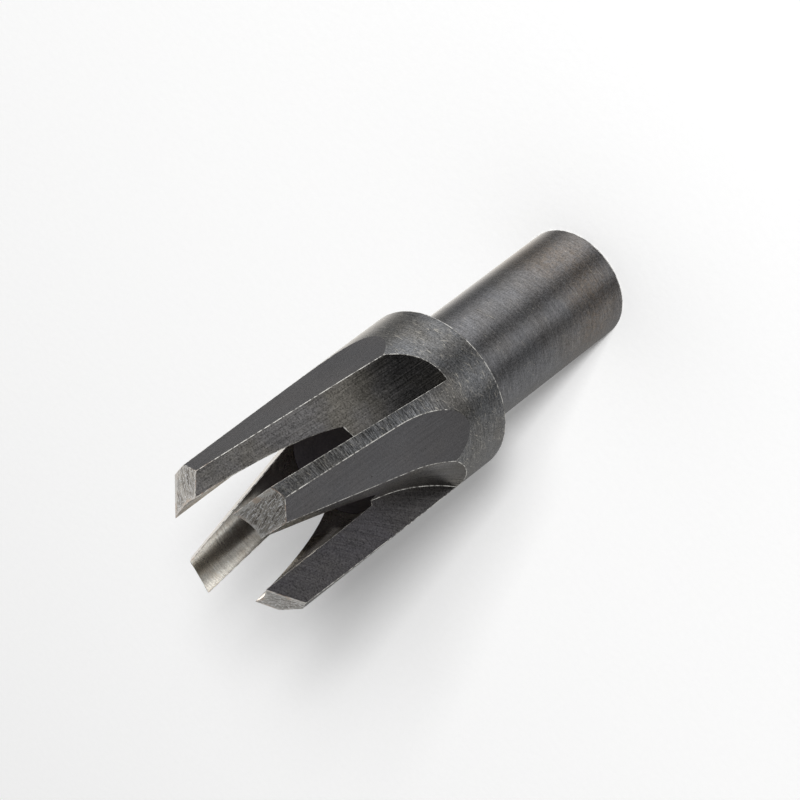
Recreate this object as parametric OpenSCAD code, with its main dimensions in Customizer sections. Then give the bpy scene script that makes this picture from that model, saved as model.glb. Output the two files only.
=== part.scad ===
// Four-fingered tapered plug cutter for a drill press, standing on the end of its shank.
// It is one bar of tool steel: a plain shank, a thicker head with a tapered bore, and four
// milled flutes that leave four cutting fingers, each with a relief flat and a ground tip.
// The origin is the middle of the shank's end face, and the tool's axis is Z.

/* [Shank] */
// Diameter of the plain shank that the chuck grips
shank_d = 12.7; // [8:0.1:16]
// Length of the shank, from its end face to the shoulder of the head
shank_len = 24.3; // [15:0.1:40]
// Small bevel round the end face of the shank
shank_bevel = 0.15; // [0.05:0.05:1]

/* [Head] */
// Outside diameter of the head
head_d = 18.34; // [16:0.02:26]
// Length of the head, from the shoulder to the foremost cutting corners
head_len = 34.4; // [28:0.1:50]
// Small bevel round the shoulder of the head
shoulder_bevel = 0.15; // [0.05:0.05:1]

/* [Bore] */
// Diameter of the bore level with the foremost cutting corners
bore_d = 11.8; // [9:0.1:13]
// Slope of the bore wall, which narrows away from the tips
bore_slope = 1.6; // [0.5:0.1:3]
// Depth of the bore wall behind the foremost cutting corners
bore_depth = 18.1; // [10:0.1:22]
// Point angle of the drilled floor of the bore
drill_point = 118; // [90:1:170]

/* [Flutes] */
// Distance from the middle of the tool to a cutting face, at the tips
face_offset = 2.18; // [1:0.02:3.4]
// Slope of a cutting face, which nears the middle towards the shank
face_slope = 4.7; // [0:0.1:8]
// Distance from the middle of the tool to the back of a finger, at the tips
back_offset = 1.28; // [0.5:0.02:3]
// Slope of a finger's back, which leaves the middle towards the shank
back_slope = 11.2; // [8:0.1:14]
// Length of the straight cut of a flute, back from the tips
flute_run = 20.4; // [16:0.1:26]
// Radius of the disc cutter that ran out of each flute
cutter_r = 23; // [15:0.5:40]

/* [Relief flats] */
// Distance from the axis to a relief flat, at the tips
flat_offset = 7.45; // [6.6:0.05:8.5]
// Slope of a flat, which leaves the axis towards the shank
flat_slope = 2; // [0:0.1:4]
// Angle round the axis from the middle of a finger to the middle of its flat
flat_turn = 32.8; // [25:0.1:40]
// Length of the straight grind of a flat, back from the tips
flat_run = 20.4; // [15:0.1:26]
// Radius of the wheel that ran out of each flat
wheel_r = 50; // [20:1:80]

/* [Tips] */
// Slope of a tip face, which falls back from the bore to the outside
tip_slope = 41.5; // [20:0.1:55]
// Turn of that slope towards the finger's back, which gives the edge its clearance
tip_turn = 10.7; // [0:0.1:20]

/* [Hidden] */
// Roundness of the turned surfaces and of the two cutters
$fn = 128;
// Number of fingers, with a flute behind each
fingers = 4;
finger_step = 360 / fingers;
total_len = shank_len + head_len;
bore_r = bore_d / 2;
head_r = head_d / 2;
// The bore wall at its deepest, and the height of the drilled cone behind it
bore_floor_z = total_len - bore_depth;
bore_floor_r = bore_r - bore_depth * tan(bore_slope);
drill_cone = bore_floor_r / tan(drill_point / 2);
// How far the cutting shapes reach past the steel
clear = 2;
reach = total_len + head_d;
black_steel = [0.27, 0.27, 0.28];

// The turned blank, drawn as half of its section and spun round the axis
module blank() {
    rotate_extrude()
        polygon([
            [0, 0],
            [shank_d / 2 - shank_bevel, 0],
            [shank_d / 2, shank_bevel],
            [shank_d / 2, shank_len],
            [head_r - shoulder_bevel, shank_len],
            [head_r, shank_len + shoulder_bevel],
            [head_r, total_len],
            [0, total_len]
        ]);
}

// The tapered bore, which carries on past the tips, and the cone that the drill left
module bore() {
    rotate_extrude()
        polygon([
            [0, bore_floor_z - drill_cone],
            [bore_floor_r, bore_floor_z],
            [bore_r + clear * tan(bore_slope), total_len + clear],
            [0, total_len + clear]
        ]);
}

// One flute, as a disc cutter leaves it. The side of the disc cuts the next finger's cutting
// face, and its rim cuts this finger's back and the long curve that runs out at the head.
module flute() {
    translate([face_offset, -back_offset, total_len])
        rotate([-back_slope, face_slope, 0]) {
            translate([0, -reach, -flute_run])
                cube([reach, reach, reach]);
            translate([0, -cutter_r, -flute_run])
                rotate([0, 90, 0])
                    cylinder(h = reach, r = cutter_r);
        }
}

// One relief flat on the outside of a finger, with the shallow curve where the wheel ran out
module relief_flat() {
    rotate([0, 0, -flat_turn])
        translate([flat_offset, 0, total_len])
            rotate([0, -flat_slope, 0]) {
                translate([0, -head_r, -flat_run])
                    cube([head_d, head_d, reach]);
                translate([wheel_r, -head_r, -flat_run])
                    rotate([-90, 0, 0])
                        cylinder(h = head_d, r = wheel_r);
            }
}

// The ground tip face, hung from the inner corner of the cutting face
module tip_face() {
    corner_x = sqrt(bore_r * bore_r - face_offset * face_offset);
    translate([corner_x, face_offset, total_len])
        rotate([0, 0, -tip_turn])
            rotate([0, tip_slope, 0])
                translate([-head_r, -head_d, 0])
                    cube([3 * head_r, 2 * head_d, head_d]);
}

module plug_cutter() {
    color(black_steel)
        difference() {
            blank();
            bore();
            for (i = [0 : fingers - 1])
                rotate([0, 0, -finger_step * i]) {
                    flute();
                    relief_flat();
                    tip_face();
                }
        }
}

plug_cutter();
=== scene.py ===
# Looks of the four-fingered plug cutter, which stands on the end of its shank.
# The steel is turned, milled and ground again here as the real one was, in millimetres,
# so that every cut surface can carry the marks of the tool that made it.
import bpy
import bmesh
import math
from mathutils import Matrix, Vector


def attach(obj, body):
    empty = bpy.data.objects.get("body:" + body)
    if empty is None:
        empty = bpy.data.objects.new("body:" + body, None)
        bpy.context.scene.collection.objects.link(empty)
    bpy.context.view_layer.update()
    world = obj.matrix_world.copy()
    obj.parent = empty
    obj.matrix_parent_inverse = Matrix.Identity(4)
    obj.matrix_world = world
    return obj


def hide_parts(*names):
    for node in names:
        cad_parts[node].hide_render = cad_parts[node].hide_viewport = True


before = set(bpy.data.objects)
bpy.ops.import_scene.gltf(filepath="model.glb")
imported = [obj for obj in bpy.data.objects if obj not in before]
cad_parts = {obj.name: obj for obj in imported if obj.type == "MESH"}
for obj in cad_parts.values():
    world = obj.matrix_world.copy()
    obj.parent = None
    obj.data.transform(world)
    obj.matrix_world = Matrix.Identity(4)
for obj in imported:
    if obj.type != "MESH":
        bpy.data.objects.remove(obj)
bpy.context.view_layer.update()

fingers = 4
fingerStep = math.tau / fingers

# the bar after the lathe, in mm
barSizes = {
    "shankWidth": 12.7,
    "shankLength": 24.3,
    "shankBevel": 0.15,
    "headWidth": 18.34,
    "headLength": 34.4,
    "shoulderBevel": 0.15,
    "roundness": 256,       # sides of the turned bar
}
topZ = barSizes["shankLength"] + barSizes["headLength"]
headRadius = barSizes["headWidth"] / 2

# the tapered bore and the cone that its drill left
boreSizes = {
    "mouthWidth": 11.8,     # level with the foremost corners
    "slope": 1.6,           # degrees, narrower away from the tips
    "depth": 18.1,
    "drillPoint": 118,      # degrees
    "overrun": 2,
}

# one flute, cut by the side and the rim of a disc cutter
fluteSizes = {
    "faceOffset": 2.18,     # cutting face to the tool's middle, at the tips
    "faceSlope": 4.7,
    "backOffset": 1.28,     # finger's back to the tool's middle, at the tips
    "backSlope": 11.2,
    "run": 20.4,
    "cutterRadius": 23,
    "roundness": 360,
}

# one relief flat, ground with the rim of a large wheel
flatSizes = {
    "offset": 7.45,
    "slope": 2,
    "turn": 32.8,
    "run": 20.4,
    "wheelRadius": 50,
    "roundness": 720,
}

# the ground face on each tip
tipSizes = {
    "slope": 41.5,
    "turn": 10.7,
}

# wear that every sharp outward edge has
edgeSizes = {
    "width": 0.14,          # mm from the edge to each side of the rubbed line, where it is widest
    "plainShare": 0.34,     # share of that width on most edges
    "sharperThan": 20,      # degrees
    "smoothBelow": 6,       # degrees, so that a rubbed line isn't shaded into its faces
    "joinCuts": 0.01,       # mm, corners nearer than this become one after the cuts
    "joinRubbed": 0.001,    # and after the rubbing
}

reach = topZ + barSizes["headWidth"]     # far enough to clear the steel
near = 0.001                             # mm, close enough to lie on a plane


def startAlone():
    if bpy.context.object and bpy.context.object.mode != "OBJECT":
        bpy.ops.object.mode_set(mode="OBJECT")
    bpy.ops.object.select_all(action="DESELECT")


def makeActive(piece):
    startAlone()
    piece.select_set(True)
    bpy.context.view_layer.objects.active = piece


def pickFaces(piece, test):
    # selects the faces whose middle and normal pass the test, in edit mode
    bpy.ops.object.mode_set(mode="EDIT")
    bpy.ops.mesh.select_mode(type="FACE")
    bpy.ops.mesh.select_all(action="DESELECT")
    mesh = bmesh.from_edit_mesh(piece.data)
    for face in mesh.faces:
        if test(face.calc_center_median(), face.normal):
            face.select_set(True)
    bmesh.update_edit_mesh(piece.data)


def pickEdges(piece, test):
    # selects the edges whose two ends pass the test, in edit mode
    bpy.ops.object.mode_set(mode="EDIT")
    bpy.ops.mesh.select_mode(type="EDGE")
    bpy.ops.mesh.select_all(action="DESELECT")
    mesh = bmesh.from_edit_mesh(piece.data)
    for edge in mesh.edges:
        if all(test(end.co) for end in edge.verts):
            edge.select_set(True)
    bmesh.update_edit_mesh(piece.data)


def placeInMesh(piece, matrix):
    makeActive(piece)
    piece.matrix_world = matrix @ piece.matrix_world
    bpy.ops.object.transform_apply(location=True, rotation=True, scale=True)


def toLinear(hexColour):
    parts = [int(hexColour[i:i + 2], 16) / 255 for i in (1, 3, 5)]
    return [c / 12.92 if c <= 0.04045 else ((c + 0.055) / 1.055) ** 2.4 for c in parts] + [1]


def addNode(tree, kind, values=None, links=None, **settings):
    # adds one node: settings are its own options, values fill sockets, links join them
    node = tree.nodes.new(kind)
    for name, setting in settings.items():
        setattr(node, name, setting)
    for socket, value in (values or {}).items():
        node.inputs[socket].default_value = value
    for socket, source in (links or {}).items():
        tree.links.new(source, node.inputs[socket])
    return node


def newMaterial(name):
    material = bpy.data.materials.new(name)
    material.use_nodes = True
    tree = material.node_tree
    tree.nodes.clear()
    return material, tree


def millimetres(tree):
    # the place on the steel in millimetres
    place = addNode(tree, "ShaderNodeTexCoord")
    return addNode(tree, "ShaderNodeMapping", {"Scale": (1000, 1000, 1000)},
                   {"Vector": place.outputs["Object"]}).outputs[0]


def roundTheBar(tree, place):
    # x and y, then the way along the skin, so that the marks of the lathe run round the tool
    axes = addNode(tree, "ShaderNodeSeparateXYZ", links={0: place})
    flat = addNode(tree, "ShaderNodeCombineXYZ", links={0: axes.outputs[0], 1: axes.outputs[1]})
    radius = addNode(tree, "ShaderNodeVectorMath", links={0: flat.outputs[0]}, operation="LENGTH")
    along = addNode(tree, "ShaderNodeMath", links={0: axes.outputs[2], 1: radius.outputs["Value"]})
    return addNode(tree, "ShaderNodeCombineXYZ",
                   links={0: axes.outputs[0], 1: axes.outputs[1], 2: along.outputs[0]}).outputs[0]


def alongTheCut(tree, place):
    # the way along the cut, the way across it and the finger, as layOutMarks left them
    return addNode(tree, "ShaderNodeAttribute", attribute_name="marks").outputs["Vector"]


def alongTheArcs(tree, place):
    # the side of the disc leaves arcs of its own radius, one behind the other
    radius = fluteSizes["cutterRadius"]
    parts = addNode(tree, "ShaderNodeSeparateXYZ", links={0: alongTheCut(tree, place)})
    left = addNode(tree, "ShaderNodeMath", {0: radius}, {1: parts.outputs[1]}, operation="SUBTRACT")
    square = addNode(tree, "ShaderNodeMath", links={0: left.outputs[0], 1: left.outputs[0]}, operation="MULTIPLY")
    rest = addNode(tree, "ShaderNodeMath", {0: radius ** 2}, {1: square.outputs[0]}, operation="SUBTRACT")
    rise = addNode(tree, "ShaderNodeMath", links={0: rest.outputs[0]}, operation="SQRT")
    arc = addNode(tree, "ShaderNodeMath", links={0: parts.outputs[0], 1: rise.outputs[0]})
    return addNode(tree, "ShaderNodeCombineXYZ",
                   links={0: parts.outputs[1], 1: arc.outputs[0], 2: parts.outputs[2]}).outputs[0]


def streaks(tree, marksAt, size, turn=(0, 0, 0), detail=3):
    # marks as long and as wide as size says, in mm, turned against the cut by degrees. The
    # turn shifts them too, so that two patterns of one size don't fall on each other
    laid = addNode(tree, "ShaderNodeMapping",
                   {"Scale": size, "Rotation": [math.radians(t) for t in turn], "Location": turn},
                   {"Vector": marksAt}, vector_type="TEXTURE")
    return addNode(tree, "ShaderNodeTexNoise", {"Scale": 1, "Detail": detail, "Roughness": 0.6},
                   {"Vector": laid.outputs[0]}).outputs[0]


patternLow, patternHigh = 0.3, 0.7      # nearly all of a noise lies between these


def toneBy(tree, tone, pattern, depth):
    # lightens and darkens a tone by a pattern
    share = addNode(tree, "ShaderNodeMapRange",
                    {"From Min": patternLow, "From Max": patternHigh, "To Min": 1 - depth, "To Max": 1 + depth},
                    {"Value": pattern})
    if tone is None:
        return share.outputs[0]
    return addNode(tree, "ShaderNodeMath", links={0: tone, 1: share.outputs[0]}, operation="MULTIPLY").outputs[0]


# what all blacked surfaces share, with sizes and heights above the shank's end in mm
skinLook = {
    "cloud": 4.5,
    "warmPatches": 7, "warmFrom": 0.42, "warmTo": 0.62,
    # heights of the painted shade in the run-out hollow
    "runOutTop": 39, "runOutFull": 30,
    "chatterBottom": 31, "chatterFull": 36, "chatterFading": 47, "chatterTop": 54, "chatterLeft": 0.25,
    "brownFull": 9, "brownTop": 20, "brownWander": 14,
    "speckles": 0.4, "speckleFrom": 0.38, "speckleTo": 0.64, "speckleLeast": 0.35,
    "rimBottom": 0.5, "rimTop": 4, "rimShare": 0.2, "brownShare": 0.8,
    "scratchSoftness": 0.07,
    "pits": 0.3, "pitFrom": 0.27, "pitFull": 0.2, "pitShare": 0.7, "pitColour": "#2c2926",
    "smoother": 0.04, "rougher": 0.05,      # how far the grain moves the roughness
    "relief": 0.00001,                      # m
}


def paintRunOutShade(tree, tone, lines, height, look):
    # the hollow where the cutter ran out is painted darker, as painted shade for the dark that it
    # mirrors, and its last, deeper lines show there
    runOutShadeMask = addNode(tree, "ShaderNodeMapRange",
                     {"From Min": skinLook["runOutTop"], "From Max": skinLook["runOutFull"]},
                     {"Value": height}, interpolation_type="SMOOTHSTEP")
    hollow = addNode(tree, "ShaderNodeMath", {1: look["runOutShade"]},
                     {0: toneBy(tree, None, lines, look["runOutDepth"])}, operation="MULTIPLY")
    return addNode(tree, "ShaderNodeMix",
                   links={0: runOutShadeMask.outputs[0], 2: tone, 3: hollow.outputs[0]}).outputs[0]


def onThinFingers(tree, tone, marksAt, height, look):
    # the thin fingers sang under the tool, so its marks are rougher on them
    onFinger = addNode(tree, "ShaderNodeMapRange",
                       {"From Min": skinLook["chatterBottom"], "From Max": skinLook["chatterFull"]},
                       {"Value": height}, interpolation_type="SMOOTHSTEP")
    byTip = addNode(tree, "ShaderNodeMapRange",
                    {"From Min": skinLook["chatterTop"], "From Max": skinLook["chatterFading"],
                     "To Min": skinLook["chatterLeft"]},
                    {"Value": height}, interpolation_type="SMOOTHSTEP")
    show = addNode(tree, "ShaderNodeMath", links={0: onFinger.outputs[0], 1: byTip.outputs[0]},
                   operation="MULTIPLY")
    ripples = toneBy(tree, None, streaks(tree, marksAt, look["chatter"]), look["chatterDepth"])
    ripples = addNode(tree, "ShaderNodeMix", {2: 1}, {0: show.outputs[0], 3: ripples})
    return addNode(tree, "ShaderNodeMath", links={0: tone, 1: ripples.outputs[0]},
                   operation="MULTIPLY").outputs[0]


def brownedByHeat(tree, skin, place, cloud, height, look):
    # the shank's end is browner, from the heat of its own hardening, in fine speckles
    wander = addNode(tree, "ShaderNodeMath", {1: skinLook["brownWander"]}, {0: cloud}, operation="MULTIPLY")
    wandering = addNode(tree, "ShaderNodeMath", links={0: height, 1: wander.outputs[0]})
    nearEnd = addNode(tree, "ShaderNodeMapRange",
                      {"From Min": skinLook["brownTop"], "From Max": skinLook["brownFull"]},
                      {"Value": wandering.outputs[0]}, interpolation_type="SMOOTHSTEP")
    speckles = streaks(tree, place, (skinLook["speckles"],) * 3, turn=(10, 0, 30))
    speckled = addNode(tree, "ShaderNodeMapRange",
                       {"From Min": skinLook["speckleFrom"], "From Max": skinLook["speckleTo"],
                        "To Min": skinLook["speckleLeast"]}, {"Value": speckles})
    fromRim = addNode(tree, "ShaderNodeMapRange",
                      {"From Min": skinLook["rimBottom"], "From Max": skinLook["rimTop"],
                       "To Min": skinLook["rimShare"], "To Max": skinLook["brownShare"]}, {"Value": height})
    share = addNode(tree, "ShaderNodeMath", links={0: fromRim.outputs[0], 1: speckled.outputs[0]},
                    operation="MULTIPLY")
    share = addNode(tree, "ShaderNodeMath", links={0: nearEnd.outputs[0], 1: share.outputs[0]},
                    operation="MULTIPLY")
    return addNode(tree, "ShaderNodeMix", {7: toLinear(look["brownEnd"])},
                   {0: share.outputs[0], 6: skin}, data_type="RGBA").outputs[2]


def scrapedShare(tree, marksAt, look):
    # hairlines and specks where the skin is scraped through
    share = None
    for size, turn, rarity, show in look["scratches"]:
        hairs = streaks(tree, marksAt, size, turn, detail=1)
        cut = addNode(tree, "ShaderNodeMapRange",
                      {"From Min": rarity, "From Max": rarity + skinLook["scratchSoftness"], "To Max": show},
                      {"Value": hairs}).outputs[0]
        if share is None:
            share = cut
        else:
            share = addNode(tree, "ShaderNodeMath", links={0: share, 1: cut}, operation="MAXIMUM").outputs[0]
    return share


def blackOxide(name, look, placeOf):
    # steel blacked in a hot salt bath: the thin skin keeps every mark of the cut below it,
    # so it looks like dark, satin metal with lighter hairlines where the skin is scraped
    material, tree = newMaterial(name)
    place = millimetres(tree)
    marksAt = placeOf(tree, place)
    height = addNode(tree, "ShaderNodeSeparateXYZ", links={0: place}).outputs[2]
    lines = streaks(tree, marksAt, look["lines"])
    grain = streaks(tree, place, (look["grain"],) * 3, detail=2)
    cloud = streaks(tree, place, (skinLook["cloud"],) * 3)
    warmth = streaks(tree, place, (skinLook["warmPatches"],) * 3, turn=(40, 20, 0), detail=4)

    tone = toneBy(tree, None, lines, look["lineDepth"])
    if "runOutShade" in look:
        tone = paintRunOutShade(tree, tone, lines, height, look)
    tone = toneBy(tree, tone, grain, look["grainDepth"])
    tone = toneBy(tree, tone, cloud, look["cloudDepth"])
    if "chatter" in look:
        tone = onThinFingers(tree, tone, marksAt, height, look)

    warmShare = addNode(tree, "ShaderNodeMapRange",
                        {"From Min": skinLook["warmFrom"], "From Max": skinLook["warmTo"]}, {"Value": warmth})
    skin = addNode(tree, "ShaderNodeMix", {6: toLinear(look["cold"]), 7: toLinear(look["warm"])},
                   {0: warmShare.outputs[0]}, data_type="RGBA").outputs[2]
    if "brownEnd" in look:
        skin = brownedByHeat(tree, skin, place, cloud, height, look)
    toned = addNode(tree, "ShaderNodeVectorMath", links={0: skin, "Scale": tone}, operation="SCALE")
    colour = addNode(tree, "ShaderNodeMix", {7: toLinear(look["bare"])},
                     {0: scrapedShare(tree, marksAt, look), 6: toned.outputs[0]}, data_type="RGBA")
    # small black pits
    pits = streaks(tree, place, (skinLook["pits"],) * 3, turn=(70, 15, 5), detail=1)
    pitCut = addNode(tree, "ShaderNodeMapRange",
                     {"From Min": skinLook["pitFrom"], "From Max": skinLook["pitFull"],
                      "To Max": skinLook["pitShare"]}, {"Value": pits})
    colour = addNode(tree, "ShaderNodeMix", {7: toLinear(skinLook["pitColour"])},
                     {0: pitCut.outputs[0], 6: colour.outputs[2]}, data_type="RGBA")

    rough = addNode(tree, "ShaderNodeMapRange",
                    {"From Min": patternLow, "From Max": patternHigh,
                     "To Min": look["roughness"] - skinLook["smoother"],
                     "To Max": look["roughness"] + skinLook["rougher"]}, {"Value": grain})
    relief = addNode(tree, "ShaderNodeMath", {1: look["grainRelief"]}, {0: grain}, operation="MULTIPLY")
    heights = addNode(tree, "ShaderNodeMath", {1: look["lineRelief"]}, {0: lines, 2: relief.outputs[0]},
                      operation="MULTIPLY_ADD")
    bump = addNode(tree, "ShaderNodeBump", {"Strength": 1, "Distance": skinLook["relief"]},
                   {"Height": heights.outputs[0]})
    shader = addNode(tree, "ShaderNodeBsdfPrincipled", {"Metallic": 1},
                     {"Base Color": colour.outputs[2], "Roughness": rough.outputs[0], "Normal": bump.outputs[0]})
    addNode(tree, "ShaderNodeOutputMaterial", links={"Surface": shader.outputs[0]})
    return material


# cylindrical grinding leaves a fine, even satin. Its grit lines are a few hundredths of a mm
# wide, drawn here 0.2 mm wide so that they show
shankLook = {
    "cold": "#737375", "warm": "#757372", "brownEnd": "#82766a", "bare": "#cfc8ba",
    "lines": (1.6, 1.6, 0.2), "lineDepth": 0.24, "lineRelief": 0.5,         # mm
    "grain": 0.17, "grainDepth": 0.36, "grainRelief": 0.5, "cloudDepth": 0.1,
    # length and width in mm, turn in degrees, rarity, strength
    "scratches": [((1.1, 1.1, 0.11), (12, -8, 0), 0.7, 0.35), ((0.2, 0.2, 0.18), (0, 30, 0), 0.73, 0.8)],
    "roughness": 0.27,
}
# the head is left as the lathe turned it, with rings about 0.3 mm apart, so each light or dark
# mark is 0.16 mm wide. They are scraped along their tops and criss-crossed by handling
headLook = {
    "cold": "#6f7072", "warm": "#72706d", "bare": "#cac5ba",
    "lines": (1.5, 1.5, 0.16), "lineDepth": 0.32, "lineRelief": 0.5,
    "chatter": (1.5, 1.5, 0.16), "chatterDepth": 0.85,
    "grain": 0.17, "grainDepth": 0.5, "grainRelief": 0.65, "cloudDepth": 0.14,
    "scratches": [((1.2, 1.2, 0.11), (12, 8, 0), 0.67, 0.6), ((1.1, 1.1, 0.11), (-38, -26, 0), 0.68, 0.7),
                  ((1.1, 1.1, 0.11), (34, -30, 0), 0.69, 0.7), ((0.2, 0.2, 0.18), (0, 50, 0), 0.7, 0.85)],
    "roughness": 0.29,
}
# the rim of the disc cutter drags long, fine lines down the back of a finger
backLook = {
    "cold": "#918f8f", "warm": "#928e87", "bare": "#c2bcae",
    "lines": (7, 0.13, 1), "lineDepth": 0.34, "lineRelief": 0.3,
    # how dark the painted shade in the run-out is, and how strongly its lines show there
    "runOutShade": 0.47, "runOutDepth": 0.8,
    "grain": 0.17, "grainDepth": 0.5, "grainRelief": 0.6, "cloudDepth": 0.2,
    "scratches": [((4, 0.11, 1), (0, 0, 0), 0.67, 0.3), ((0.8, 0.11, 1), (0, 0, 38), 0.72, 0.5),
                  ((0.2, 0.18, 1), (0, 0, 5), 0.72, 0.7)],
    "roughness": 0.3,
}
# its side leaves arcs on the cutting face
faceLook = {
    "cold": "#5f5d60", "warm": "#605e5e", "bare": "#aaa498",
    "lines": (5, 0.17, 1), "lineDepth": 0.34, "lineRelief": 0.45,
    "grain": 0.18, "grainDepth": 0.46, "grainRelief": 0.5, "cloudDepth": 0.08,
    "scratches": [((3, 0.12, 1), (0, 0, 0), 0.67, 0.3), ((0.2, 0.18, 1), (0, 0, 5), 0.72, 0.6)],
    "roughness": 0.3,
}
# a fine wheel ground the flats, so they are the smoothest skin
flatLook = {
    "cold": "#7b7a7c", "warm": "#7c7a7b", "bare": "#aca9a4",
    "lines": (9, 0.17, 1), "lineDepth": 0.13, "lineRelief": 0.16,
    "grain": 0.17, "grainDepth": 0.13, "grainRelief": 0.12, "cloudDepth": 0.04,
    "scratches": [((3, 0.11, 1), (0, 0, 4), 0.71, 0.25), ((0.2, 0.18, 1), (0, 0, 60), 0.735, 0.6)],
    "roughness": 0.28,
}


# the tips are ground after the blacking, so their steel is bare, with coarse, crossing scratches
tipLook = {
    "light": "#dad6cf", "dark": "#6e6862", "toneFrom": 0.4, "toneTo": 0.6,
    "scratches": (3, 0.09, 1), "turn": 31,          # mm, and degrees from the slope of the tip
    "crossing": (1.4, 0.1, 1), "crossTurn": -5, "crossShare": 0.24,
    # the deepest scratches have raised, bright rims, and loose grit left small bright pricks
    "rim": "#ffffff", "deepest": (0.9, 0.1, 1), "deepestTurn": 12, "pricks": 0.17,
    "rimFrom": 0.59, "rimTo": 0.65,
    "cloud": 1.4, "cloudDepth": 0.25,
    # the wheel's last pass left a narrow, ragged and brighter land along the edges
    "land": "#f4f2ee", "landShare": 0.6, "landWidth": 0.3, "landSoftness": 0.15,
    "landWander": 0.8, "wanderPatches": 0.5,
    # straw colour that grinding leaves on the thinnest edge
    "heatTint": "#b98f5e", "tintShare": 0.4, "tintFrom": 0.5, "tintTo": 0.66,
    "roughness": 0.26, "scratched": 0.5, "scratchedFrom": 0.42, "rimmed": 0.66,
    "relief": 0.000016,                             # m
}


def fromTipEdges(tree, place, marksAt):
    # the way to the nearest of the bore, the finger's back and its cutting face, in mm
    axes = addNode(tree, "ShaderNodeSeparateXYZ", links={0: place})
    flat = addNode(tree, "ShaderNodeCombineXYZ", links={0: axes.outputs[0], 1: axes.outputs[1]})
    radius = addNode(tree, "ShaderNodeVectorMath", links={0: flat.outputs[0]}, operation="LENGTH")
    fromBore = addNode(tree, "ShaderNodeMath", {1: boreSizes["mouthWidth"] / 2}, {0: radius.outputs["Value"]},
                       operation="SUBTRACT")
    laid = addNode(tree, "ShaderNodeSeparateXYZ", links={0: marksAt})
    fromFace = addNode(tree, "ShaderNodeMath", {1: -1}, {0: laid.outputs[1]}, operation="MULTIPLY")
    nearest = addNode(tree, "ShaderNodeMath", links={0: fromBore.outputs[0], 1: laid.outputs[2]},
                      operation="MINIMUM")
    return addNode(tree, "ShaderNodeMath", links={0: nearest.outputs[0], 1: fromFace.outputs[0]},
                   operation="MINIMUM").outputs[0]


def bareTip(name, look):
    material, tree = newMaterial(name)
    place = millimetres(tree)
    marksAt = alongTheCut(tree, place)
    scratches = streaks(tree, marksAt, look["scratches"], (0, 0, look["turn"]))
    crossing = streaks(tree, marksAt, look["crossing"], (0, 0, look["crossTurn"]))
    cloud = streaks(tree, place, (look["cloud"],) * 3)
    both = addNode(tree, "ShaderNodeMix", {0: look["crossShare"]}, {2: scratches, 3: crossing})
    tone = addNode(tree, "ShaderNodeMapRange", {"From Min": look["toneFrom"], "From Max": look["toneTo"]},
                   {"Value": both.outputs[0]})
    colour = addNode(tree, "ShaderNodeMix", {6: toLinear(look["dark"]), 7: toLinear(look["light"])},
                     {0: tone.outputs[0]}, data_type="RGBA")
    deepest = streaks(tree, marksAt, look["deepest"], (0, 0, look["deepestTurn"]), detail=1)
    pricks = streaks(tree, place, (look["pricks"],) * 3, detail=1)
    raised = addNode(tree, "ShaderNodeMath", links={0: deepest, 1: pricks}, operation="MAXIMUM")
    rims = addNode(tree, "ShaderNodeMapRange", {"From Min": look["rimFrom"], "From Max": look["rimTo"]},
                   {"Value": raised.outputs[0]})
    colour = addNode(tree, "ShaderNodeMix", {7: toLinear(look["rim"])},
                     {0: rims.outputs[0], 6: colour.outputs[2]}, data_type="RGBA")
    colour = addNode(tree, "ShaderNodeVectorMath",
                     links={0: colour.outputs[2], "Scale": toneBy(tree, None, cloud, look["cloudDepth"])},
                     operation="SCALE")
    # the land
    ragged = streaks(tree, place, (look["wanderPatches"],) * 3, turn=(20, 0, 70))
    wander = addNode(tree, "ShaderNodeMath", {1: look["landWander"], 2: -0.5 * look["landWander"]}, {0: ragged},
                     operation="MULTIPLY_ADD")
    inFrom = addNode(tree, "ShaderNodeMath",
                     links={0: fromTipEdges(tree, place, marksAt), 1: wander.outputs[0]})
    land = addNode(tree, "ShaderNodeMapRange",
                   {"From Min": look["landWidth"], "From Max": look["landWidth"] - look["landSoftness"]},
                   {"Value": inFrom.outputs[0]})
    landShow = addNode(tree, "ShaderNodeMath", {1: look["landShare"]}, {0: land.outputs[0]},
                       operation="MULTIPLY")
    colour = addNode(tree, "ShaderNodeMix", {7: toLinear(look["land"])},
                     {0: landShow.outputs[0], 6: colour.outputs[0]}, data_type="RGBA")
    tinted = addNode(tree, "ShaderNodeMapRange",
                     {"From Min": look["tintFrom"], "From Max": look["tintTo"], "To Max": look["tintShare"]},
                     {"Value": cloud})
    tintShare = addNode(tree, "ShaderNodeMath", links={0: tinted.outputs[0], 1: land.outputs[0]},
                        operation="MULTIPLY")
    colour = addNode(tree, "ShaderNodeMix", {7: toLinear(look["heatTint"])},
                     {0: tintShare.outputs[0], 6: colour.outputs[2]}, data_type="RGBA")
    # the scratches are rough, so they gather light from all round: pale lines where the tip
    # mirrors the dark, and grey ones where it mirrors the light
    rough = addNode(tree, "ShaderNodeMapRange",
                    {"From Min": look["scratchedFrom"], "From Max": look["toneTo"],
                     "To Min": look["roughness"], "To Max": look["scratched"]}, {"Value": both.outputs[0]})
    rough = addNode(tree, "ShaderNodeMix", {3: look["rimmed"]}, {0: rims.outputs[0], 2: rough.outputs[0]})
    bump = addNode(tree, "ShaderNodeBump", {"Strength": 1, "Distance": look["relief"]},
                   {"Height": both.outputs[0]})
    shader = addNode(tree, "ShaderNodeBsdfPrincipled", {"Metallic": 1},
                     {"Base Color": colour.outputs[2], "Roughness": rough.outputs[0], "Normal": bump.outputs[0]})
    addNode(tree, "ShaderNodeOutputMaterial", links={"Surface": shader.outputs[0]})
    return material
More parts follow.
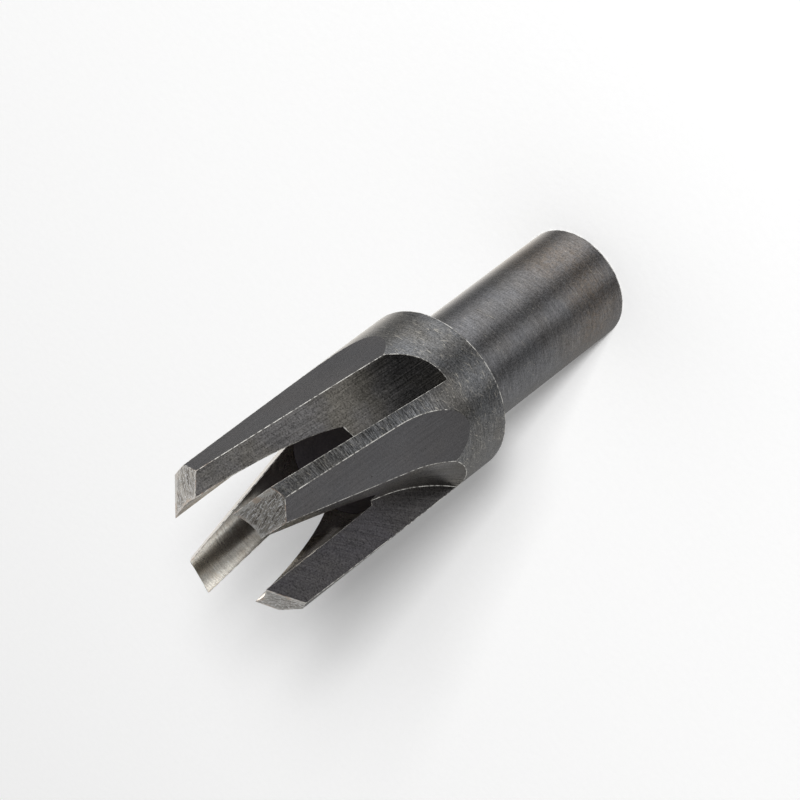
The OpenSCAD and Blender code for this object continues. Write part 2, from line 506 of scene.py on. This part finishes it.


# the bore is reamed after the blacking near the tips, so it is bright there and mirrors the
# other fingers; deeper in, the drill's dark skin is left, with painted light on it for the light that bounces in
boreLook = {
    # the deep wall's colour is painted light, lighter than blacked steel for the light that bounces into the bore;
    # the cone's colour is partly its black skin and partly painted shade at the bottom of the bore
    "bright": "#f5f0e6", "straw": "#c4ae92", "deep": "#a9a19a", "drilled": "#454246",
    "roughness": 0.17, "deepRoughness": 0.5,
    "rings": (1.5, 1.5, 0.18), "ringDepth": 0.16,   # mm, the feed of the reamer, drawn coarser than it is
    "grain": 0.18, "grainDepth": 0.14,
    "brightFrom": 45, "deepFrom": 37, "wander": 6,  # mm above the shank's end, and how far it wanders
    "cloud": 2, "strawFrom": 0.52, "strawTo": 0.72, "strawShare": 0.45,
    "coneFade": 0.03,                               # mm, where the drill's cone meets the reamed wall
    "relief": 0.0000015,                            # m
}


def reamedBore(name, look):
    material, tree = newMaterial(name)
    place = millimetres(tree)
    rings = streaks(tree, roundTheBar(tree, place), look["rings"])
    grain = streaks(tree, place, (look["grain"],) * 3, detail=2)
    cloud = streaks(tree, place, (look["cloud"],) * 3)
    axes = addNode(tree, "ShaderNodeSeparateXYZ", links={0: place})
    wander = addNode(tree, "ShaderNodeMath", {1: look["wander"], 2: -0.5 * look["wander"]}, {0: cloud},
                     operation="MULTIPLY_ADD")
    height = addNode(tree, "ShaderNodeMath", links={0: axes.outputs[2], 1: wander.outputs[0]})
    brightShare = addNode(tree, "ShaderNodeMapRange",
                          {"From Min": look["deepFrom"], "From Max": look["brightFrom"]},
                          {"Value": height.outputs[0]}, interpolation_type="SMOOTHSTEP")
    strawShare = addNode(tree, "ShaderNodeMapRange",
                         {"From Min": look["strawFrom"], "From Max": look["strawTo"],
                          "To Max": look["strawShare"]}, {"Value": cloud})
    bright = addNode(tree, "ShaderNodeMix", {6: toLinear(look["bright"]), 7: toLinear(look["straw"])},
                     {0: strawShare.outputs[0]}, data_type="RGBA")
    skin = addNode(tree, "ShaderNodeMix", {6: toLinear(look["deep"])},
                   {0: brightShare.outputs[0], 7: bright.outputs[2]}, data_type="RGBA")
    # the drill's cone under the reamed wall was never touched again, so it stays black, and it is painted darker
    # than the deep wall as painted shade at the bottom of the bore
    floorZ = topZ - boreSizes["depth"]
    onCone = addNode(tree, "ShaderNodeMapRange",
                     {"From Min": floorZ + 2 * look["coneFade"], "From Max": floorZ + look["coneFade"]},
                     {"Value": axes.outputs[2]})
    skin = addNode(tree, "ShaderNodeMix", {7: toLinear(look["drilled"])},
                   {0: onCone.outputs[0], 6: skin.outputs[2]}, data_type="RGBA")
    tone = toneBy(tree, toneBy(tree, None, rings, look["ringDepth"]), grain, look["grainDepth"])
    colour = addNode(tree, "ShaderNodeVectorMath", links={0: skin.outputs[2], "Scale": tone}, operation="SCALE")
    rough = addNode(tree, "ShaderNodeMapRange", {"To Min": look["deepRoughness"], "To Max": look["roughness"]},
                    {"Value": brightShare.outputs[0]})
    bump = addNode(tree, "ShaderNodeBump", {"Strength": 1, "Distance": look["relief"]}, {"Height": rings})
    shader = addNode(tree, "ShaderNodeBsdfPrincipled", {"Metallic": 1},
                     {"Base Color": colour.outputs[0], "Roughness": rough.outputs[0], "Normal": bump.outputs[0]})
    addNode(tree, "ShaderNodeOutputMaterial", links={"Surface": shader.outputs[0]})
    return material


# sharp edges are rubbed through the black to the steel, so they show as thin, broken bright lines
edgeLook = {
    "bare": "#e6e4de", "black": "#757370", "patches": 0.6, "rubbedFrom": 0.42, "rubbedTo": 0.54,
    "roughness": 0.48, "metallic": 0.72,
    # grinding heat coloured the thin edges of the tips, from a height in mm upward, in patches
    "heatTint": "#b67f52", "tintBottom": 53.5, "tintTop": 57,
    "tintPatches": 0.9, "tintFrom": 0.46, "tintTo": 0.62, "tintShare": 0.55,
}


def rubbedEdge(name, look):
    material, tree = newMaterial(name)
    place = millimetres(tree)
    patches = streaks(tree, place, (look["patches"],) * 3, detail=5)
    rubbed = addNode(tree, "ShaderNodeMapRange",
                     {"From Min": look["rubbedFrom"], "From Max": look["rubbedTo"]}, {"Value": patches})
    colour = addNode(tree, "ShaderNodeMix", {6: toLinear(look["black"]), 7: toLinear(look["bare"])},
                     {0: rubbed.outputs[0]}, data_type="RGBA")
    axes = addNode(tree, "ShaderNodeSeparateXYZ", links={0: place})
    byTip = addNode(tree, "ShaderNodeMapRange", {"From Min": look["tintBottom"], "From Max": look["tintTop"]},
                    {"Value": axes.outputs[2]})
    tinted = addNode(tree, "ShaderNodeMapRange",
                     {"From Min": look["tintFrom"], "From Max": look["tintTo"], "To Max": look["tintShare"]},
                     {"Value": streaks(tree, place, (look["tintPatches"],) * 3, turn=(0, 60, 0))})
    tint = addNode(tree, "ShaderNodeMath", links={0: byTip.outputs[0], 1: tinted.outputs[0]}, operation="MULTIPLY")
    colour = addNode(tree, "ShaderNodeMix", {7: toLinear(look["heatTint"])},
                     {0: tint.outputs[0], 6: colour.outputs[2]}, data_type="RGBA")
    # a burr scatters light like powder as well as mirroring it, so it isn't all metallic
    shader = addNode(tree, "ShaderNodeBsdfPrincipled",
                     {"Metallic": look["metallic"], "Roughness": look["roughness"]},
                     {"Base Color": colour.outputs[2]})
    addNode(tree, "ShaderNodeOutputMaterial", links={"Surface": shader.outputs[0]})
    return material


print("materials")
finishes = {
    "shank": blackOxide("blackOxideGroundShank", shankLook, roundTheBar),
    "head": blackOxide("blackOxideTurnedHead", headLook, roundTheBar),
    "back": blackOxide("blackOxideMilledBack", backLook, alongTheCut),
    "face": blackOxide("blackOxideMilledFace", faceLook, alongTheArcs),
    "flat": blackOxide("blackOxideGroundFlat", flatLook, alongTheCut),
    "tip": bareTip("bareSteelGroundTip", tipLook),
    "bore": reamedBore("bareSteelReamedBore", boreLook),
    "edge": rubbedEdge("rubbedSteelEdge", edgeLook),
}


def turnBar():
    length = barSizes["shankLength"]
    bpy.ops.mesh.primitive_cylinder_add(
        vertices=barSizes["roundness"], radius=barSizes["shankWidth"] / 2, depth=length,
        end_fill_type="NGON", location=(0, 0, length / 2))
    bar = bpy.context.object
    bar.name = "plugCutter"
    placeInMesh(bar, Matrix.Identity(4))
    # the head is drawn out of the shank's upper end
    pickFaces(bar, lambda middle, normal: middle.z > length - near)
    widen = barSizes["headWidth"] / barSizes["shankWidth"]
    bpy.ops.mesh.extrude_region_move(TRANSFORM_OT_translate={"value": (0, 0, 0)})
    bpy.ops.transform.resize(value=(widen, widen, 1), center_override=(0, 0, length))
    bpy.ops.mesh.extrude_region_move(
        TRANSFORM_OT_translate={"value": (0, 0, barSizes["headLength"])})
    # the small bevels round the shank's end and the shoulder
    pickEdges(bar, lambda end: end.z < near)
    bpy.ops.mesh.bevel(offset=barSizes["shankBevel"], segments=2, affect="EDGES")
    pickEdges(bar, lambda end: abs(end.z - length) < near and end.xy.length > headRadius - near)
    bpy.ops.mesh.bevel(offset=barSizes["shoulderBevel"], segments=2, affect="EDGES")
    bpy.ops.object.mode_set(mode="OBJECT")
    bar.data.materials.append(finishes["shank"])
    bar.data.materials.append(finishes["head"])
    for face in bar.data.polygons:
        face.material_index = int(face.center.z > length - near)
    return bar


def boreCutter():
    slope = math.tan(math.radians(boreSizes["slope"]))
    mouth = boreSizes["mouthWidth"] / 2
    floorRadius = mouth - boreSizes["depth"] * slope
    length = boreSizes["depth"] + boreSizes["overrun"]
    floorZ = topZ - boreSizes["depth"]
    bpy.ops.mesh.primitive_cone_add(
        vertices=barSizes["roundness"], radius1=floorRadius,
        radius2=mouth + boreSizes["overrun"] * slope, depth=length,
        end_fill_type="NGON", location=(0, 0, floorZ + length / 2))
    cutter = bpy.context.object
    placeInMesh(cutter, Matrix.Identity(4))
    # the drill's point
    pickFaces(cutter, lambda middle, normal: normal.z < -0.9)
    deep = floorRadius / math.tan(math.radians(boreSizes["drillPoint"] / 2))
    bpy.ops.mesh.extrude_region_move(TRANSFORM_OT_translate={"value": (0, 0, -deep)})
    bpy.ops.mesh.merge(type="CENTER")
    bpy.ops.object.mode_set(mode="OBJECT")
    cutter.data.materials.append(finishes["bore"])
    return cutter


def sweptDisc(radius, width, run, roundness):
    # the space that a disc takes out as it runs along Z: its rim touches the plane y = 0,
    # its near side is the plane x = 0, and its middle stops at z = -run
    bpy.ops.mesh.primitive_cylinder_add(
        vertices=roundness, radius=radius, depth=width, end_fill_type="NGON",
        location=(width / 2, -radius, -run), rotation=(0, math.pi / 2, 0))
    cutter = bpy.context.object
    placeInMesh(cutter, Matrix.Identity(4))
    bpy.ops.object.mode_set(mode="EDIT")
    bpy.ops.mesh.select_all(action="SELECT")
    bpy.ops.mesh.bisect(plane_co=(0, 0, -run), plane_no=(0, 0, 1), clear_outer=True)
    # the straight part of the run, drawn out of the open half
    pickEdges(cutter, lambda end: abs(end.z + run) < near)
    bpy.ops.mesh.edge_face_add()
    pickFaces(cutter, lambda middle, normal: abs(middle.z + run) < near)
    bpy.ops.mesh.extrude_region_move(TRANSFORM_OT_translate={"value": (0, 0, reach)})
    bpy.ops.mesh.select_all(action="SELECT")
    bpy.ops.mesh.normals_make_consistent(inside=False)
    bpy.ops.object.mode_set(mode="OBJECT")
    return cutter


def flutePlace():
    return (Matrix.Translation((fluteSizes["faceOffset"], -fluteSizes["backOffset"], topZ))
            @ Matrix.Rotation(math.radians(fluteSizes["faceSlope"]), 4, "Y")
            @ Matrix.Rotation(-math.radians(fluteSizes["backSlope"]), 4, "X"))


def fluteCutter():
    cutter = sweptDisc(fluteSizes["cutterRadius"], reach / 2, fluteSizes["run"], fluteSizes["roundness"])
    # the rim finishes the back of a finger, and the side finishes the next cutting face
    cutter.data.materials.append(finishes["back"])
    cutter.data.materials.append(finishes["face"])
    for face in cutter.data.polygons:
        face.material_index = int(abs(face.normal.x) > 0.9)
    placeInMesh(cutter, flutePlace())
    return cutter


def flatPlace():
    # the wheel's rim touches the flat, so the disc is turned a quarter round its run
    return (Matrix.Rotation(-math.radians(flatSizes["turn"]), 4, "Z")
            @ Matrix.Translation((flatSizes["offset"], 0, topZ))
            @ Matrix.Rotation(-math.radians(flatSizes["slope"]), 4, "Y")
            @ Matrix.Rotation(math.pi / 2, 4, "Z"))


def flatCutter():
    wheelWidth = 2 * barSizes["headWidth"]
    cutter = sweptDisc(flatSizes["wheelRadius"], wheelWidth, flatSizes["run"], flatSizes["roundness"])
    cutter.data.materials.append(finishes["flat"])
    placeInMesh(cutter, flatPlace() @ Matrix.Translation((-wheelWidth / 2, 0, 0)))
    return cutter


def tipPlace():
    # hung from the inner corner of the cutting face
    bore = boreSizes["mouthWidth"] / 2
    cornerX = math.sqrt(bore ** 2 - fluteSizes["faceOffset"] ** 2)
    return (Matrix.Translation((cornerX, fluteSizes["faceOffset"], topZ))
            @ Matrix.Rotation(-math.radians(tipSizes["turn"]), 4, "Z")
            @ Matrix.Rotation(math.radians(tipSizes["slope"]), 4, "Y"))


def tipCutter():
    size = 3 * headRadius
    bpy.ops.mesh.primitive_cube_add(size=size, location=(size / 2 - headRadius, 0, size / 2))
    cutter = bpy.context.object
    placeInMesh(cutter, Matrix.Identity(4))
    placeInMesh(cutter, tipPlace())
    cutter.data.materials.append(finishes["tip"])
    return cutter


def takeAway(bar, cutter):
    # the cut surface takes the finish that the cutter carries
    makeActive(bar)
    cut = bar.modifiers.new("cut", "BOOLEAN")
    cut.operation = "DIFFERENCE"
    cut.solver = "EXACT"
    cut.material_mode = "TRANSFER"
    cut.object = cutter
    bpy.ops.object.modifier_apply(modifier=cut.name)


def cutAllRound(bar, cutter):
    # the first cut is made once and copied round the tool for the other fingers
    for finger in range(fingers):
        makeActive(cutter)
        bpy.ops.object.duplicate()
        turned = bpy.context.object
        placeInMesh(turned, Matrix.Rotation(-fingerStep * finger, 4, "Z"))
        takeAway(bar, turned)
        bpy.data.objects.remove(turned)
    bpy.data.objects.remove(cutter)


def chooseRubbed(bar):
    # outward edges are rubbed, and most of all the burr where the first finger's back meets the
    # bore. The disc's worn corner also left a small bright hollow by each cutting face
    names = [material.name for material in bar.data.materials]
    burr = {finishes["back"].name, finishes["bore"].name}
    hollow = {finishes["back"].name, finishes["face"].name}
    mesh = bmesh.new()
    mesh.from_mesh(bar.data)
    weight = mesh.edges.layers.float.new("bevel_weight_edge")
    for edge in mesh.edges:
        beside = {names[face.material_index] for face in edge.link_faces}
        sharp = edge.calc_face_angle(0) > math.radians(edgeSizes["sharperThan"])
        if sharp and (edge.is_convex or beside == hollow):
            onFirst = edge.verts[0].co.x > headRadius / 4       # it points along X
            edge[weight] = 1 if beside == burr and onFirst else edgeSizes["plainShare"]
    mesh.to_mesh(bar.data)
    mesh.free()


fingerShift = 10        # mm in the patterns from one finger to the next, so that they differ


def layOutMarks(bar):
    # leaves on each face the way along its cut and the way across it, in mm, so that the
    # marks in a finish follow the tool that made the face, and differ from finger to finger
    names = [material.name for material in bar.data.materials]
    back, milled, flat, tip = [finishes[kind].name for kind in ("back", "face", "flat", "tip")]
    intoFlute, intoFlat, intoTip = [place.inverted() for place in (flutePlace(), flatPlace(), tipPlace())]
    places = {back: intoFlute, milled: intoFlute, flat: intoFlat, tip: intoTip}
    marks = bar.data.attributes.new("marks", "FLOAT_VECTOR", "CORNER")
    for face in bar.data.polygons:
        name = names[face.material_index]
        if name not in places:
            continue
        angle = math.atan2(face.center.y, face.center.x)
        if name in (back, milled):
            angle += fingerStep / 2         # the middle of a flute lies behind its finger
        finger = round(-angle / fingerStep) % fingers
        shift = fingerShift * finger
        toFirst = Matrix.Rotation(fingerStep * finger, 4, "Z")
        for corner in face.loop_indices:
            onFirst = toFirst @ bar.data.vertices[bar.data.loops[corner].vertex_index].co
            at = places[name] @ onFirst
            if name == milled:
                laid = (at.z, -at.y, shift)
            elif name == tip:
                laid = (at.x + shift, at.y, (intoFlute @ onFirst).y)
            elif name == back:
                laid = (alongDisc(at.z, fluteSizes["run"], fluteSizes["cutterRadius"]), at.x, shift)
            else:
                laid = (alongDisc(at.z, flatSizes["run"], flatSizes["wheelRadius"]), at.x, shift)
            marks.data[corner].vector = laid


def alongDisc(z, run, radius):
    # straight at first, then along the curve where the disc ran out
    if z > -run:
        return z
    return -run - radius * math.asin(min(1, (-run - z) / radius))


def joinCorners(piece, nearerThan):
    makeActive(piece)
    bpy.ops.object.mode_set(mode="EDIT")
    bpy.ops.mesh.select_all(action="SELECT")
    bpy.ops.mesh.remove_doubles(threshold=nearerThan)
    bpy.ops.object.mode_set(mode="OBJECT")


print("turning the bar")
plugCutter = turnBar()
print("boring")
bore = boreCutter()
takeAway(plugCutter, bore)
bpy.data.objects.remove(bore)
print("milling the flutes")
cutAllRound(plugCutter, fluteCutter())
print("grinding the flats")
cutAllRound(plugCutter, flatCutter())
print("grinding the tips")
cutAllRound(plugCutter, tipCutter())

print("rubbing the edges")
joinCorners(plugCutter, edgeSizes["joinCuts"])
plugCutter.data.materials.append(finishes["edge"])
chooseRubbed(plugCutter)
rub = plugCutter.modifiers.new("rub", "BEVEL")
rub.width = edgeSizes["width"]
rub.segments = 1
rub.limit_method = "WEIGHT"
rub.use_clamp_overlap = False
rub.material = len(plugCutter.data.materials) - 1
bpy.ops.object.modifier_apply(modifier=rub.name)
joinCorners(plugCutter, edgeSizes["joinRubbed"])
layOutMarks(plugCutter)

# down from millimetres to metres
placeInMesh(plugCutter, Matrix.Scale(0.001, 4))
bpy.ops.object.shade_smooth_by_angle(angle=math.radians(edgeSizes["smoothBelow"]))
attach(plugCutter, "root")
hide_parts("plug_cutter")


# uncoated card, with a tooth that just shows where the light grazes it
floorLook = {
    "width": 6, "relief": 0.00002,      # m
    "tooth": 0.8,                       # mm
    "dark": "#f8f8f8", "light": "#fcfcfc", "roughness": 0.9,
}


def studioFloor(look):
    # the steel doesn't mirror the card: the lower ring of soft light takes its place
    startAlone()
    bpy.ops.mesh.primitive_plane_add(size=look["width"])
    floor = bpy.context.object
    floor.name = "studioFloor"
    floor.visible_glossy = False
    floor.visible_diffuse = False
    floor.visible_shadow = False
    material, tree = newMaterial("uncoatedPaleCard")
    tooth = streaks(tree, millimetres(tree), (look["tooth"],) * 3)
    colour = addNode(tree, "ShaderNodeMix", {6: toLinear(look["dark"]), 7: toLinear(look["light"])}, {0: tooth},
                     data_type="RGBA")
    bump = addNode(tree, "ShaderNodeBump", {"Strength": 1, "Distance": look["relief"]}, {"Height": tooth})
    paper = addNode(tree, "ShaderNodeBsdfPrincipled", {"Roughness": look["roughness"], "Specular IOR Level": 0},
                    {"Base Color": colour.outputs[2], "Normal": bump.outputs[0]})
    addNode(tree, "ShaderNodeOutputMaterial", links={"Surface": paper.outputs[0]})
    floor.data.materials.append(material)


# the soft light that the steel mirrors: a lower and an upper ring of soft boxes and the dark
# gaps between them, each with its direction in degrees, its brightness and how warm it is
studioLook = {
    "below": [(-172, 0.64, 0), (-139, 0.24, 0), (-109, 0.95, 0), (-77, 0.25, 0), (-44, 1.24, 0), (-26, 1.34, 0),
              (23, 0.28, 0), (77, 1.68, 0.1), (98, 0.17, 0.04), (122, 0.35, 0.03), (164, 0.6, 0)],
    "above": [(-170, 0.35, 0), (-115, 0.1, 0), (-75, 0.05, 0), (-45, 0.15, 0), (0, 0.5, 0), (43, 0.8, 0.02),
              (100, 0.5, 0)],
    "lowerTop": -0.32, "upperBottom": 0.08,         # heights on a dome of radius 1
    "overhead": 0.32, "overheadFrom": 0.5, "overheadFull": 0.85,
    "backdrop": 0.94,
}


def lightRamp(tree, share, stops):
    ramp = addNode(tree, "ShaderNodeValToRGB", links={0: share})
    ramp.color_ramp.interpolation = "EASE"
    first, last = stops[0], stops[-1]
    # the ring is closed half way between the last light and the first
    middle = [(first[1] + last[1]) / 2, (first[2] + last[2]) / 2]
    for degrees, brightness, warmth in [(-180, *middle), *stops, (180, *middle)]:
        colour = (brightness, brightness * (1 - warmth * 0.4), brightness * (1 - warmth), 1)
        if abs(degrees) == 180:
            ramp.color_ramp.elements[0 if degrees < 0 else -1].color = colour
        else:
            ramp.color_ramp.elements.new((degrees + 180) / 360).color = colour
    return ramp.outputs[0]


def studioWorld(look):
    world = bpy.data.worlds.new("studio")
    bpy.context.scene.world = world
    world.use_nodes = True
    tree = world.node_tree
    tree.nodes.clear()
    place = addNode(tree, "ShaderNodeTexCoord")
    axes = addNode(tree, "ShaderNodeSeparateXYZ", links={0: place.outputs["Generated"]})
    around = addNode(tree, "ShaderNodeMath", links={0: axes.outputs[1], 1: axes.outputs[0]}, operation="ARCTAN2")
    share = addNode(tree, "ShaderNodeMapRange", {"From Min": -math.pi, "From Max": math.pi},
                    {"Value": around.outputs[0]})
    below = lightRamp(tree, share.outputs[0], look["below"])
    above = lightRamp(tree, share.outputs[0], look["above"])
    rise = addNode(tree, "ShaderNodeMapRange", {"From Min": look["lowerTop"], "From Max": look["upperBottom"]},
                   {"Value": axes.outputs[2]}, interpolation_type="SMOOTHSTEP")
    light = addNode(tree, "ShaderNodeMix", links={0: rise.outputs[0], 6: below, 7: above}, data_type="RGBA")
    top = addNode(tree, "ShaderNodeMapRange",
                  {"From Min": look["overheadFrom"], "From Max": look["overheadFull"]},
                  {"Value": axes.outputs[2]}, interpolation_type="SMOOTHSTEP")
    light = addNode(tree, "ShaderNodeMix", {7: (look["overhead"],) * 3 + (1,)},
                    {0: top.outputs[0], 6: light.outputs[2]}, data_type="RGBA")
    rays = addNode(tree, "ShaderNodeLightPath")
    seen = addNode(tree, "ShaderNodeMix", {7: (look["backdrop"],) * 3 + (1,)},
                   {0: rays.outputs["Is Camera Ray"], 6: light.outputs[2]}, data_type="RGBA")
    sky = addNode(tree, "ShaderNodeBackground", {"Strength": 1}, {"Color": seen.outputs[2]})
    addNode(tree, "ShaderNodeOutputWorld", links={"Surface": sky.outputs[0]})


# both boxes light the paper and aren't mirrored in the steel: the small one throws the tool's
# own shadow, and the large one the soft shade beside the shank. Turn and height are in
# degrees, distance and size in m, power in W
boxLooks = {
    "keyBox": {"turn": -86, "height": 37.5, "distance": 1.4, "size": 0.14, "power": 12.5},
    "fillBox": {"turn": -80, "height": 38, "distance": 1.4, "size": 0.3, "power": 9.5},
}


def lightBox(name, look):
    lamp = bpy.data.lights.new(name, "AREA")
    lamp.shape = "SQUARE"
    lamp.size = look["size"]
    lamp.energy = look["power"]
    box = bpy.data.objects.new(name, lamp)
    bpy.context.scene.collection.objects.link(box)
    turn, rise = math.radians(look["turn"]), math.radians(look["height"])
    towards = Vector((math.cos(turn) * math.cos(rise), math.sin(turn) * math.cos(rise), math.sin(rise)))
    box.location = towards * look["distance"]
    box.rotation_euler = towards.to_track_quat("Z", "Y").to_euler()
    box.visible_glossy = False


# the view of the tool: the camera is rolled, because the real tool lies on its side. The place
# is in m, the turns in degrees, the lens and the sensor in mm
cameraLook = {"place": (-0.010555, -0.359311, 0.325948), "turns": (-36.211, 37.835, -141.943),
              "lens": 206.2, "sensor": 36, "nearest": 0.01}


def rolledCamera(look):
    lens = bpy.data.cameras.new("camera")
    lens.lens = look["lens"]
    lens.sensor_width = look["sensor"]
    lens.clip_start = look["nearest"]
    camera = bpy.data.objects.new("camera", lens)
    bpy.context.scene.collection.objects.link(camera)
    camera.location = look["place"]
    camera.rotation_euler = [math.radians(turn) for turn in look["turns"]]
    bpy.context.scene.camera = camera


print("studio")
studioFloor(floorLook)
studioWorld(studioLook)
for name, look in boxLooks.items():
    lightBox(name, look)
rolledCamera(cameraLook)
bpy.context.scene.view_settings.view_transform = "Standard"
